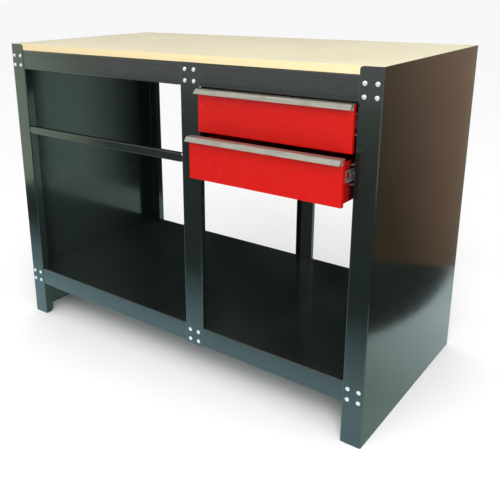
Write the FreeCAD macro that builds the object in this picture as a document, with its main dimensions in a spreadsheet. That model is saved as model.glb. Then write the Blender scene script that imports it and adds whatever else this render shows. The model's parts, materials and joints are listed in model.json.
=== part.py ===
"""Steel workbench with a board top, a lower shelf and two drawers on telescopic slides.

Frame of the model: +X to the right seen from the front, +Y to the back, +Z up, floor at Z = 0.
Pieces are drawn with Y = 0 on the outside of the front flanges, and every sub-part is then
moved by frame_shift so that the origin is the centre of the footprint at rest.
"""
import FreeCAD, Part
import math
import os
import Sketcher

# alias, value in millimetres, meaning
CELLS = [
    ("bench_width", 1200, "over the two end panels"),
    ("bench_depth", 604, "over the front and rear flanges"),
    ("bench_height", 893, "floor to the top of board and end panels"),
    ("steel", 1.5, "thickness of the frame's folded sheet"),
    ("bend_outside", 2.5, "outside radius of a frame bend"),
    ("bend_inside", 1.0, "inside radius of a frame bend"),
    ("board_thick", 18, "worktop board"),
    ("board_gap", 1, "board and rails to the end panels' walls"),
    ("board_ease", 0.8, "rounding of the board's edges"),
    ("flange_width", 53.5, "front and rear flanges of an end panel"),
    ("panel_lip", 25, "return lip on an end panel's flange"),
    ("lip_chamfer", 8, "cut at the foot of a lip"),
    ("tab_round", 10, "rounded inner top corner of an end flange"),
    ("rail_top", 875, "top of the top rails, under the board"),
    ("rail_height", 57, "height of a top rail"),
    ("rail_flange", 25, "horizontal flanges of a top rail"),
    ("shelf_top", 164, "surface of the lower shelf"),
    ("shelf_apron", 56, "folded front and rear of the lower shelf"),
    ("shelf_return", 15, "inward return under each apron"),
    ("notch_gap", 1.5, "clearance of a lip's notch above and below a rail"),
    ("leg_left", 70.5, "left edge of the middle legs"),
    ("leg_width", 60, "width of a middle leg"),
    ("leg_lip", 16, "return lips of a middle leg"),
    ("leg_foot", 107, "bottom of the middle legs"),
    ("bar_bottom", 620, "underside of the left bay's cross bar"),
    ("bar_height", 23, "height of the cross bar"),
    ("bar_depth", 14, "front to back of the cross bar"),
    ("bar_setback", 1, "face of the bar behind the flange face"),
    ("bar_corner", 6, "cut corners at the bar's ends"),
    ("pattern_pitch", 28, "square bolt pattern of each frame joint"),
    ("pattern_low", 135, "height of the lower patterns' centre"),
    ("pattern_high", 844.5, "height of the upper patterns' centre"),
    ("pattern_edge", 26, "pattern centre to the outside of an end panel"),
    ("bolt_hole", 6.4, "clearance hole of a frame bolt"),
    ("bolt_shank", 6, "frame bolt"),
    ("bolt_length", 12, "frame bolt under the head"),
    ("bolt_head", 11, "button head across"),
    ("bolt_head_high", 3.3, "button head height"),
    ("bolt_socket", 4, "hexagon socket across flats"),
    ("bolt_socket_deep", 2, "hexagon socket depth"),
    ("nut_across", 10, "frame nut across flats"),
    ("nut_high", 5, "frame nut height"),
    ("nut_clear", 0.05, "thread clearance of a nut, per side"),
    ("screw_hole", 4.2, "clearance hole of a slide screw"),
    ("screw_shank", 4, "slide screw"),
    ("screw_head", 7.6, "slide screw head across"),
    ("screw_head_high", 1.7, "slide screw head height"),
    ("screw_long", 9, "screw through a lip, under the head"),
    ("screw_short", 5, "screw through a drawer side, under the head"),
    ("small_nut_across", 7, "nut of a slide screw, across flats"),
    ("small_nut_high", 3.2, "nut of a slide screw"),
    ("lip_screw_in", 9, "slide and bar screws behind the flange face"),
    ("wood_screw", 3.8, "worktop screw"),
    ("wood_screw_hole", 4, "hole for a worktop screw"),
    ("wood_screw_long", 14, "worktop screw under the head"),
    ("wood_screw_in", 15, "worktop screws behind the rail face"),
    ("wood_screw_pitch", 245, "spacing of the worktop screws along a rail"),
    ("front_proud", 7, "closed drawer front ahead of the flange face"),
    ("front_left_gap", 1, "drawer front to the middle leg"),
    ("front_right_gap", 4.4, "drawer front to the end flange"),
    ("front_height", 105, "height of a drawer front"),
    ("front_depth", 10, "depth of the drawer front's folded rim"),
    ("front_sheet", 1.2, "sheet of the drawer front"),
    ("upper_bottom", 709.5, "underside of the upper drawer front"),
    ("lower_bottom", 600, "underside of the lower drawer front"),
    ("upper_open", 0.0, "upper drawer pulled out at rest"),
    ("lower_open", 37, "lower drawer pulled out at rest"),
    ("box_lift", 2, "drawer box above the underside of its front"),
    ("box_height", 92, "height of a drawer box"),
    ("box_back", 555, "back of a closed drawer box"),
    ("box_sheet", 1, "sheet of a drawer box"),
    ("hem_height", 8, "folded hem along the top of a drawer side"),
    ("hem_thick", 2.4, "thickness of the hem"),
    ("hem_round", 0.8, "rounding of the hem's top"),
    ("box_wall_drop", 1.2, "drawer box's end walls under the top of its sides"),
    ("pull_reach", 19, "pull ahead of the drawer front"),
    ("pull_ledge", 9.5, "flat top of the pull ahead of the drawer front"),
    ("pull_wall", 1.6, "wall of the pull's profile"),
    ("pull_rise", 1, "pull above the drawer front"),
    ("pull_drop", 9.5, "pull's lower edge under the top of the front"),
    ("pull_hook", 4.5, "inward hook under the pull"),
    ("pull_foot", 13, "pull's mounting flange under the top of the front"),
    ("pull_ledge_in", 0.8, "inner corner of the ledge ahead of its outer one"),
    ("pull_slope_in", 2.56, "inner foot of the slope behind the pull's face"),
    ("rivet_down", 7.5, "pull rivets under the top of the front"),
    ("rivet_pitch", 123.5, "spacing of the pull rivets"),
    ("rivet_clear", 0.1, "clearance of a pull rivet in its hole, on the diameter"),
    ("rivet_shank", 3.2, "pull rivet"),
    ("rivet_head", 6, "pull rivet head"),
    ("rivet_head_high", 1, "pull rivet head height"),
    ("rivet_tail", 1.6, "pull rivet's set end"),
    ("plate_bottom", 625, "lower edge of the plates that carry the slides"),
    ("plate_top", 817.5, "upper edge of the plates that carry the slides"),
    ("plate_gap", 1, "edge of a plate to the lip beside it"),
    ("plate_tab_long", 38, "tab that carries a plate behind a lip, front to back"),
    ("plate_tab_in", 2.5, "tab behind the flange face"),
    ("slide_centre", 62, "slides above the underside of a drawer front"),
    ("slide_thick", 12.7, "slide from lip to drawer side"),
    ("slide_sheet", 1.2, "sheet of the slide members"),
    ("slide_bend_out", 1.8, "outside radius of a slide bend"),
    ("slide_bend_in", 0.6, "inside radius of a slide bend"),
    ("outer_half", 22.75, "half height of the outer member"),
    ("outer_reach", 11.5, "outer member from the lip"),
    ("outer_front", 4, "front end of the outer member"),
    ("outer_back", 600, "rear end of the outer member"),
    ("middle_half", 17.9, "half height of the middle member"),
    ("middle_web", 3.8, "middle member's web from the lip"),
    ("middle_reach", 12, "middle member's flanges from the lip"),
    ("middle_front", 44, "front end of the closed middle member"),
    ("middle_back", 598, "rear end of the closed middle member"),
    ("inner_half", 13.1, "half height of the inner member"),
    ("inner_reach", 6.6, "inner member's flanges from the lip"),
    ("inner_front", 22, "front end of the closed inner member"),
    ("inner_back", 553, "rear end of the closed inner member"),
    ("side_screw_first", 62, "first screw of a drawer side, behind the flange face when closed"),
    ("side_screw_second", 290, "second screw of a drawer side"),
    ("side_screw_third", 528, "third screw of a drawer side"),
    ("window_long", 15, "window in the inner member's web"),
    ("window_high", 15, "window in the inner member's web"),
    ("window_in", 5, "window behind the inner member's front end"),
    ("ball", 2.95, "ball in a slide"),
    ("ball_pitch", 20, "spacing of the balls"),
    ("cage_thick", 0.6, "strip of a ball cage"),
    ("cage_wide", 4.4, "strip of a ball cage"),
    ("outer_cage_front", 190, "front of the closed outer cages"),
    ("outer_cage_long", 240, "length of the outer cages"),
    ("outer_cage_from_lip", 7.6, "outer cages' centre from the lip"),
    ("inner_cage_front", 225, "front of the closed inner cages"),
    ("inner_cage_long", 200, "length of the inner cages"),
    ("inner_cage_from_lip", 9.2, "inner cages' centre from the lip"),
]

# Domed head, as parts of its width and height: flat crown, shoulder and rim
HEAD_CROWN = 0.28
HEAD_SHOULDER = (0.45, 0.6)
HEAD_RIM = 0.15

# Corner chamfer of a nut, as parts of its width across flats
NUT_TRIM_OUT = 0.65
NUT_TRIM_DOWN = 0.13

# Cutting sketches run this far past the solid, and lengths that differ by less than TINY count as equal, in
# millimetres
PAST = 1
TINY = 1e-3

# Share of the drawer's travel that each moving piece of a slide makes
OUTER_CAGE_RATE = 0.25
MIDDLE_RATE = 0.5
INNER_CAGE_RATE = 0.75

doc = FreeCAD.newDocument("Workbench")
sheet = doc.addObject("Spreadsheet::Sheet", "Dimensions")
for row, (alias, value, meaning) in enumerate(CELLS, start=1):
    sheet.set(f"A{row}", meaning)
    sheet.set(f"B{row}", str(value))
    sheet.setAlias(f"B{row}", alias)
doc.recompute()


class Dim:
    """A length that carries its value and the sheet expression that it comes from."""

    def __init__(self, value, text):
        self.value = float(value)
        self.text = text

    def __add__(self, other):
        other = as_dim(other)
        return Dim(self.value + other.value, f"({self.text} + {other.text})")

    def __sub__(self, other):
        other = as_dim(other)
        return Dim(self.value - other.value, f"({self.text} - {other.text})")

    def __mul__(self, factor):
        return Dim(self.value * factor, f"({self.text} * {factor})")

    def __truediv__(self, divisor):
        return Dim(self.value / divisor, f"({self.text} / {divisor})")

    def __neg__(self):
        return self * -1

    def __radd__(self, other):
        return as_dim(other) + self

    def __rsub__(self, other):
        return as_dim(other) - self

    def __rmul__(self, factor):
        return self * factor


def as_dim(value):
    """Turn a plain number into a Dim."""
    return value if isinstance(value, Dim) else Dim(value, f"{value:g}")


def cell(alias):
    """The Dim of one cell of the sheet."""
    return Dim(sheet.get(alias), f"Dimensions.{alias}")


D = {alias: cell(alias) for alias, _, _ in CELLS}

# Places that several pieces share
half_width = D["bench_width"] / 2
flange_edge = half_width - D["flange_width"]
rail_bottom = D["rail_top"] - D["rail_height"]
shelf_bottom = D["shelf_top"] - D["shelf_apron"]
leg_right = D["leg_left"] + D["leg_width"]
leg_centre = D["leg_left"] + D["leg_width"] / 2
front_left = leg_right + D["front_left_gap"]
front_right = flange_edge - D["front_right_gap"]
box_left = leg_right + D["slide_thick"]
box_right = flange_edge - D["slide_thick"]
front_reach = D["front_proud"] + D["lower_open"] + D["pull_reach"]
frame_shift = (D["bench_depth"] + D["bolt_head_high"] - front_reach) / 2
inner_span = half_width - D["steel"] - D["board_gap"]
lip_screw_rear = D["bench_depth"] - D["lip_screw_in"]

subparts = []


def bind(obj, path, dim):
    """Bind a property of an object to the sheet."""
    obj.setExpression(path, as_dim(dim).text)


def finish(obj, label):
    """Register a sub-part: label it and move it into the model's frame."""
    obj.Label = label
    bind(obj, "Placement.Base.y", -frame_shift)
    subparts.append(obj)
    return obj


def new_body(name):
    """An empty PartDesign body."""
    return doc.addObject("PartDesign::Body", name)


def new_sketch(body, plane, name, offset=0):
    """A sketch on one of the body's own origin planes, moved along the plane's normal."""
    sketch = body.newObject("Sketcher::SketchObject", name)
    support = [item for item in body.Origin.OriginFeatures if item.Role == plane][0]
    sketch.AttachmentSupport = (support, "")
    sketch.MapMode = "FlatFace"
    bind(sketch, "AttachmentOffset.Base.z", offset)
    return sketch


def fix_point(sketch, geometry, vertex, point):
    """Hold one vertex of the sketch at a point given in Dims."""
    for kind, value in (("DistanceX", point[0]), ("DistanceY", point[1])):
        value = as_dim(value)
        index = sketch.addConstraint(Sketcher.Constraint(kind, -1, 1, geometry, vertex, value.value))
        sketch.setExpression(f"Constraints[{index}]", value.text)


def same_point(first, second):
    """True where two points lie on each other."""
    return all(abs(first[axis].value - second[axis].value) < TINY for axis in (0, 1))


def unit_step(start, end):
    """Direction of an axis-parallel edge, as whole numbers."""
    steps = []
    for a, b in zip(start, end):
        difference = b.value - a.value
        steps.append(0 if abs(difference) < TINY else int(math.copysign(1, difference)))
    return steps


def add_outline(sketch, corners):
    """Closed outline of (x, y) or (x, y, radius) corners; a radius rounds a right-angled corner."""
    points = [tuple(as_dim(value) for value in corner) for corner in corners]
    count = len(points)
    pieces = []
    for index, point in enumerate(points):
        if len(point) == 2:
            pieces.append((point, point, None, None))
            continue
        before = unit_step(points[index - 1][:2], point[:2])
        after = unit_step(point[:2], points[(index + 1) % count][:2])
        radius = point[2]
        enter = tuple(point[axis] - radius * before[axis] for axis in (0, 1))
        leave = tuple(point[axis] + radius * after[axis] for axis in (0, 1))
        centre = tuple(enter[axis] + radius * after[axis] for axis in (0, 1))
        pieces.append((enter, leave, centre, radius))
    for index, (enter, leave, centre, radius) in enumerate(pieces):
        if centre is not None:
            add_arc(sketch, enter, leave, centre, radius)
        following = pieces[(index + 1) % count][0]
        if not same_point(leave, following):
            add_line(sketch, leave, following)


def add_line(sketch, start, end):
    """A line with both ends held."""
    ends = [FreeCAD.Vector(point[0].value, point[1].value, 0) for point in (start, end)]
    line = sketch.addGeometry(Part.LineSegment(*ends), False)
    fix_point(sketch, line, 1, start)
    fix_point(sketch, line, 2, end)


def add_arc(sketch, enter, leave, centre, radius):
    """A quarter arc with both ends and the radius held."""
    angles = []
    for point in (enter, leave):
        angles.append(math.atan2(point[1].value - centre[1].value, point[0].value - centre[0].value))
    turn = (angles[1] - angles[0]) % (2 * math.pi)
    counterclockwise = turn < math.pi
    first, last = (angles[0], angles[1]) if counterclockwise else (angles[1], angles[0])
    middle = FreeCAD.Vector(centre[0].value, centre[1].value, 0)
    circle = Part.Circle(middle, FreeCAD.Vector(0, 0, 1), radius.value)
    arc = sketch.addGeometry(Part.ArcOfCircle(circle, first, last), False)
    fix_point(sketch, arc, 1, enter if counterclockwise else leave)
    fix_point(sketch, arc, 2, leave if counterclockwise else enter)
    index = sketch.addConstraint(Sketcher.Constraint("Radius", arc, radius.value))
    sketch.setExpression(f"Constraints[{index}]", radius.text)


def add_circles(sketch, centres, diameter):
    """Circles of one diameter around points given in Dims."""
    for centre in centres:
        centre = tuple(as_dim(value) for value in centre)
        middle = FreeCAD.Vector(centre[0].value, centre[1].value, 0)
        circle = Part.Circle(middle, FreeCAD.Vector(0, 0, 1), diameter.value / 2)
        geometry = sketch.addGeometry(circle, False)
        fix_point(sketch, geometry, 3, centre)
        index = sketch.addConstraint(Sketcher.Constraint("Diameter", geometry, diameter.value))
        sketch.setExpression(f"Constraints[{index}]", diameter.text)


def add_box_outline(sketch, low, high):
    """A rectangle between two opposite corners."""
    add_outline(sketch, [low, (high[0], low[1]), high, (low[0], high[1])])


def normal_sign(sketch):
    """Which way a sketch on an origin plane faces along its axis: the XZ plane faces -Y."""
    return -1 if sketch.AttachmentSupport[0][0].Role == "XZ_Plane" else 1


def pad(body, sketch, length, heading=1):
    """Pad a sketch towards the plus or minus end of the axis it faces."""
    feature = body.newObject("PartDesign::Pad", "Pad")
    feature.Profile = sketch
    feature.Reversed = heading != normal_sign(sketch)
    bind(feature, "Length", length)
    body.Tip = feature
    doc.recompute()
    return feature


def pocket(body, sketch, depth, heading):
    """Cut a sketch out of the body towards the plus or minus end of its axis, and check that it cut."""
    doc.recompute()
    before = body.Shape.Volume
    feature = body.newObject("PartDesign::Pocket", "Pocket")
    feature.Profile = sketch
    feature.Reversed = heading == normal_sign(sketch)
    bind(feature, "Length", depth)
    body.Tip = feature
    doc.recompute()
    if not body.Shape.Volume < before - TINY:
        raise RuntimeError(f"{body.Name}: {sketch.Name} cut nothing")
    return feature


def round_edges(body, radius, wanted):
    """Fillet the edges of the body that the test picks."""
    base = body.Tip
    names = [f"Edge{index}" for index, edge in enumerate(base.Shape.Edges, start=1) if wanted(edge)]
    feature = body.newObject("PartDesign::Fillet", "Fillet")
    feature.Base = (base, names)
    bind(feature, "Radius", radius)
    body.Tip = feature
    doc.recompute()
    return feature


def square_pattern(centre_x, centre_z):
    """The four centres of a frame joint's bolts, as (x, z)."""
    reach = D["pattern_pitch"] / 2
    return [(centre_x + reach * i, centre_z + reach * j) for i in (-1, 1) for j in (-1, 1)]


def joint_patterns(columns):
    """Bolt centres of the upper and lower joints in some columns."""
    centres = []
    for column in columns:
        for height in (D["pattern_low"], D["pattern_high"]):
            centres += square_pattern(column, height)
    return centres


end_columns = [half_width * side - D["pattern_edge"] * side for side in (-1, 1)]
all_columns = [end_columns[0], leg_centre, end_columns[1]]
slide_heights = [D[name] + D["slide_centre"] for name in ("upper_bottom", "lower_bottom")]
bar_middle = D["bar_bottom"] + D["bar_height"] / 2


# ---- worktop ------------------------------------------------------------------------------------

wood_screw_front = D["steel"] + D["wood_screw_in"]
wood_screw_rows = [wood_screw_front, D["bench_depth"] - wood_screw_front]
wood_screw_columns = [D["wood_screw_pitch"] * step for step in (-2, -1, 0, 1, 2)]
wood_screw_places = [(column, row) for column in wood_screw_columns for row in wood_screw_rows]


def make_worktop():
    """Board with eased edges and blind holes for the screws that hold it down."""
    body = new_body("WorktopBoard")
    outline = new_sketch(body, "XY_Plane", "BoardOutline", D["rail_top"])
    add_box_outline(outline, (-inner_span, D["steel"]), (inner_span, D["bench_depth"] - D["steel"]))
    pad(body, outline, D["board_thick"])
    holes = new_sketch(body, "XY_Plane", "ScrewHoles", D["rail_top"])
    add_circles(holes, wood_screw_places, D["wood_screw_hole"])
    pocket(body, holes, D["wood_screw_long"] - D["steel"], 1)
    round_edges(body, D["board_ease"], lambda edge: len(edge.Vertexes) == 2)
    finish(body, "worktop_board")


# ---- frame sheet metal --------------------------------------------------------------------------

def make_end_panel(side, label):
    """Folded end: one wall, front and rear flanges, and return lips notched at the rails."""
    body = new_body(label.title().replace("_", ""))
    wall, edge = half_width * side, flange_edge * side
    skin = D["steel"] * side
    back, lip, steel = D["bench_depth"], D["panel_lip"], D["steel"]
    outside, inside = D["bend_outside"], D["bend_inside"]
    section = new_sketch(body, "XY_Plane", "Section")
    add_outline(section, [
        (edge, lip), (edge, 0, outside), (wall, 0, outside), (wall, back, outside), (edge, back, outside),
        (edge, back - lip), (edge + skin, back - lip), (edge + skin, back - steel, inside),
        (wall - skin, back - steel, inside), (wall - skin, steel, inside), (edge + skin, steel, inside),
        (edge + skin, lip)])
    pad(body, section, D["bench_height"])

    cut_deep = D["bend_outside"] * 2 + D["steel"]
    notches = new_sketch(body, "YZ_Plane", "LipNotches", edge + D["bend_outside"] * side)
    for near, far, foot in ((steel, lip + PAST, lip), (back - steel, back - lip - PAST, back - lip)):
        slope = D["lip_chamfer"] * (1 if foot is lip else -1)
        add_box_outline(notches, (near, shelf_bottom - D["notch_gap"]),
                        (far, D["shelf_top"] + D["notch_gap"]))
        add_box_outline(notches, (near, rail_bottom - D["notch_gap"]), (far, D["bench_height"] + PAST))
        add_outline(notches, [(foot - slope, -PAST), (far, -PAST), (far, D["lip_chamfer"] + PAST),
                              (foot, D["lip_chamfer"]), (foot - slope, 0)])
    pocket(body, notches, cut_deep, -side)

    corner = new_sketch(body, "XZ_Plane", "TabCorner", PAST)
    beyond = edge - PAST * side
    turn = D["tab_round"]
    top = D["bench_height"]
    add_outline(corner, [(beyond, top - turn), (beyond, top + PAST), (edge + turn * side, top + PAST),
                         (edge + turn * side, top), (edge, top, turn), (edge, top - turn)])
    pocket(body, corner, D["bench_depth"] + PAST * 2, 1)

    bolts = new_sketch(body, "XZ_Plane", "BoltHoles", PAST)
    add_circles(bolts, joint_patterns([end_columns[0] if side < 0 else end_columns[1]]), D["bolt_hole"])
    pocket(body, bolts, D["bench_depth"] + PAST * 2, 1)

    holes = new_sketch(body, "YZ_Plane", "LipHoles", edge + D["bend_outside"] * side)
    if side > 0:
        rows = (D["lip_screw_in"], lip_screw_rear)
        add_circles(holes, [(row, height) for row in rows for height in slide_heights], D["screw_hole"])
    else:
        add_circles(holes, [(D["lip_screw_in"], bar_middle)], D["screw_hole"])
    pocket(body, holes, cut_deep, -side)
    finish(body, label)


def make_top_rail(face, inward, label):
    """Channel rail under the board, its web behind the flanges, open towards the inside."""
    body = new_body(label.title().replace("_", ""))
    tip = face + D["rail_flange"] * inward
    skin = D["steel"] * inward
    low, high, steel = rail_bottom, D["rail_top"], D["steel"]
    outside, inside = D["bend_outside"], D["bend_inside"]
    section = new_sketch(body, "YZ_Plane", "Section", -inner_span)
    add_outline(section, [
        (tip, high), (face, high, outside), (face, low, outside), (tip, low), (tip, low + steel),
        (face + skin, low + steel, inside), (face + skin, high - steel, inside), (tip, high - steel)])
    pad(body, section, inner_span * 2)
    bolts = new_sketch(body, "XZ_Plane", "BoltHoles", -(face + skin * 2))
    upper = []
    for column in all_columns:
        upper += square_pattern(column, D["pattern_high"])
    add_circles(bolts, upper, D["bolt_hole"])
    pocket(body, bolts, D["steel"] * 3, -inward)
    screws = new_sketch(body, "XY_Plane", "ScrewHoles", D["rail_top"] + PAST)
    row = face + D["wood_screw_in"] * inward
    add_circles(screws, [(column, row) for column in wood_screw_columns], D["wood_screw_hole"])
    pocket(body, screws, D["steel"] + PAST * 2, -1)
    finish(body, label)


def make_lower_shelf():
    """Folded shelf: a flat surface with front and rear aprons and returns under them."""
    body = new_body("LowerShelf")
    front, rear = D["steel"], D["bench_depth"] - D["steel"]
    low, high, steel, hem = shelf_bottom, D["shelf_top"], D["steel"], D["shelf_return"]
    outside, inside = D["bend_outside"], D["bend_inside"]
    section = new_sketch(body, "YZ_Plane", "Section", -inner_span)
    add_outline(section, [
        (front + hem, low), (front, low, outside), (front, high, outside), (rear, high, outside),
        (rear, low, outside), (rear - hem, low), (rear - hem, low + steel),
        (rear - steel, low + steel, inside),
        (rear - steel, high - steel, inside), (front + steel, high - steel, inside),
        (front + steel, low + steel, inside), (front + hem, low + steel)])
    pad(body, section, inner_span * 2)
    bolts = new_sketch(body, "XZ_Plane", "BoltHoles", PAST)
    lower = []
    for column in all_columns:
        lower += square_pattern(column, D["pattern_low"])
    add_circles(bolts, lower, D["bolt_hole"])
    pocket(body, bolts, D["bench_depth"] + PAST * 2, 1)
    finish(body, "lower_shelf")


def make_middle_leg(face, inward, label):
    """Upright between the bays: a flange with two return lips, notched at the rails."""
    body = new_body(label.title().replace("_", ""))
    left, right = D["leg_left"], leg_right
    steel, tip, skin = D["steel"], face + D["leg_lip"] * inward, D["steel"] * inward
    outside, inside = D["bend_outside"], D["bend_inside"]
    section = new_sketch(body, "XY_Plane", "Section", D["leg_foot"])
    add_outline(section, [
        (left, tip), (left, face, outside), (right, face, outside), (right, tip), (right - steel, tip),
        (right - steel, face + skin, inside), (left + steel, face + skin, inside), (left + steel, tip)])
    pad(body, section, D["rail_top"] - D["leg_foot"])
    notches = new_sketch(body, "YZ_Plane", "LipNotches", right + PAST)
    far = tip + PAST * inward
    add_box_outline(notches, (face + skin, D["leg_foot"] - PAST), (far, D["shelf_top"] + D["notch_gap"]))
    add_box_outline(notches, (face + skin, rail_bottom - D["notch_gap"]), (far, D["rail_top"] + PAST))
    pocket(body, notches, D["leg_width"] + PAST * 2, -1)
    bolts = new_sketch(body, "XZ_Plane", "BoltHoles", -(face + skin * 2))
    add_circles(bolts, joint_patterns([leg_centre]), D["bolt_hole"])
    pocket(body, bolts, D["steel"] * 3, -inward)
    row = face + D["lip_screw_in"] * inward
    slides = new_sketch(body, "YZ_Plane", "SlideHoles", right + PAST)
    add_circles(slides, [(row, height) for height in slide_heights], D["screw_hole"])
    pocket(body, slides, D["steel"] + PAST * 2, -1)
    if inward > 0:
        bar = new_sketch(body, "YZ_Plane", "BarHole", left + D["steel"] + PAST)
        add_circles(bar, [(row, bar_middle)], D["screw_hole"])
        pocket(body, bar, D["steel"] + PAST * 2, -1)
    finish(body, label)


def make_bay_bar():
    """Narrow channel across the front of the left bay, with an end tab on each lip."""
    body = new_body("LeftBayBar")
    face, steel = D["bar_setback"], D["steel"]
    tip = face + D["bar_depth"]
    low, high = D["bar_bottom"], D["bar_bottom"] + D["bar_height"]
    start, end, cut = -flange_edge, D["leg_left"], D["bar_corner"]
    outside, inside = D["bend_outside"], D["bend_inside"]
    section = new_sketch(body, "YZ_Plane", "Section", start)
    add_outline(section, [
        (tip, high), (face, high, outside), (face, low, outside), (tip, low), (tip, low + steel),
        (face + steel, low + steel, inside), (face + steel, high - steel, inside), (tip, high - steel)])
    pad(body, section, end - start)
    corners = new_sketch(body, "XZ_Plane", "EndCorners", 0)
    for tip_x, step in ((start, 1), (end, -1)):
        beyond = tip_x - PAST * step
        inner = tip_x + cut * step
        add_outline(corners, [(beyond, high + PAST), (beyond, high - cut), (tip_x, high - cut), (inner, high),
                              (inner, high + PAST)])
        add_outline(corners, [(beyond, low - PAST), (beyond, low + cut), (tip_x, low + cut), (inner, low),
                              (inner, low - PAST)])
    pocket(body, corners, tip + PAST, 1)
    tabs = new_sketch(body, "XZ_Plane", "EndTabs", -(face + D["steel"] / 2))
    for tip_x, step in ((start, 1), (end, -1)):
        add_box_outline(tabs, (tip_x, low + cut), (tip_x + steel * step, high - cut))
    pad(body, tabs, D["bar_depth"] - D["steel"] / 2)
    holes = new_sketch(body, "YZ_Plane", "TabHoles", end + PAST)
    add_circles(holes, [(D["lip_screw_in"], bar_middle)], D["screw_hole"])
    pocket(body, holes, end - start + PAST * 2, -1)
    finish(body, "left_bay_bar")


def make_slide_plate(lip_face, away, lip, label):
    """Plate between the front and rear lips that carries the slides, held by a tab behind each lip."""
    body = new_body(label.title().replace("_", ""))
    low, high = D["plate_bottom"], D["plate_top"]
    edge, back = lip + D["plate_gap"], D["bench_depth"]
    skin = D["steel"] * away
    panel = new_sketch(body, "YZ_Plane", "Panel", lip_face)
    add_box_outline(panel, (edge, low), (back - edge, high))
    pad(body, panel, D["steel"], away)
    tabs = new_sketch(body, "YZ_Plane", "Tabs", lip_face + skin)
    near, reach = D["plate_tab_in"], D["plate_tab_in"] + D["plate_tab_long"]
    for height in slide_heights:
        under, over = height - D["outer_half"], height + D["outer_half"]
        add_box_outline(tabs, (near, under), (reach, over))
        add_box_outline(tabs, (back - reach, under), (back - near, over))
    pad(body, tabs, D["steel"], away)
    holes = new_sketch(body, "YZ_Plane", "SlideHoles", lip_face - PAST * away)
    rows = (D["lip_screw_in"], lip_screw_rear)
    add_circles(holes, [(row, height) for row in rows for height in slide_heights], D["screw_hole"])
    pocket(body, holes, D["steel"] * 2 + PAST * 2, away)
    finish(body, label)


# ---- fasteners ----------------------------------------------------------------------------------

def make_headed_pin(name, head, head_high, shank, length, socket=None):
    """A domed-head bolt, screw or rivet: head below Z = 0, shank up along +Z."""
    body = new_body(name)
    section = new_sketch(body, "XZ_Plane", "Section")
    shoulder = (head * HEAD_SHOULDER[0], -head_high * HEAD_SHOULDER[1])
    add_outline(section, [(0, -head_high), (head * HEAD_CROWN, -head_high), shoulder,
                          (head / 2, -head_high * HEAD_RIM), (head / 2, 0), (shank / 2, 0),
                          (shank / 2, length), (0, length)])
    turned = body.newObject("PartDesign::Revolution", "Turned")
    turned.Profile = section
    turned.ReferenceAxis = (section, ["V_Axis"])
    turned.Angle = 360
    body.Tip = turned
    doc.recompute()
    if socket is not None:
        recess = new_sketch(body, "XY_Plane", "Socket", -head_high)
        add_hexagon(recess, socket)
        pocket(body, recess, D["bolt_socket_deep"], 1)
    return body


def add_hexagon(sketch, across):
    """A hexagon around the sketch's origin, by its width across flats."""
    corner = across / math.sqrt(3)
    points = []
    for index in range(6):
        angle = math.radians(60 * index)
        points.append((corner * math.cos(angle), corner * math.sin(angle)))
    add_outline(sketch, points)


def make_nut(name, across, high, bore):
    """A plain hexagon nut standing on Z = 0 with chamfered corners."""
    body = new_body(name)
    outline = new_sketch(body, "XY_Plane", "Hexagon")
    add_hexagon(outline, across)
    pad(body, outline, high)
    hole = new_sketch(body, "XY_Plane", "Bore")
    add_circles(hole, [(0, 0)], bore)
    pocket(body, hole, high, 1)
    outer = across * NUT_TRIM_OUT
    trim = new_sketch(body, "XZ_Plane", "CornerTrim")
    add_outline(trim, [(across / 2, high), (outer, high), (outer, high - across * NUT_TRIM_DOWN)])
    groove = body.newObject("PartDesign::Groove", "Trim")
    groove.Profile = trim
    groove.ReferenceAxis = (trim, ["V_Axis"])
    groove.Angle = 360
    body.Tip = groove
    doc.recompute()
    return body


def place_copies(master, places, label):
    """A group of separate copies of a fastener; each place is (point, direction of its +Z)."""
    copies = []
    for point, direction in places:
        base = FreeCAD.Vector(*(as_dim(value).value for value in point))
        turn = FreeCAD.Rotation(FreeCAD.Vector(0, 0, 1), FreeCAD.Vector(*direction))
        copy = master.Shape.copy()
        copy.Placement = FreeCAD.Placement(base, turn)
        copies.append(copy)
    group = doc.addObject("Part::Feature", label.title().replace("_", ""))
    group.Shape = Part.makeCompound(copies)
    group.Placement = FreeCAD.Placement()
    return finish(group, label)


TO_BACK = (0, 1, 0)
TO_FRONT = (0, -1, 0)
TO_RIGHT = (1, 0, 0)
TO_LEFT = (-1, 0, 0)
UPWARDS = (0, 0, 1)


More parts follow.
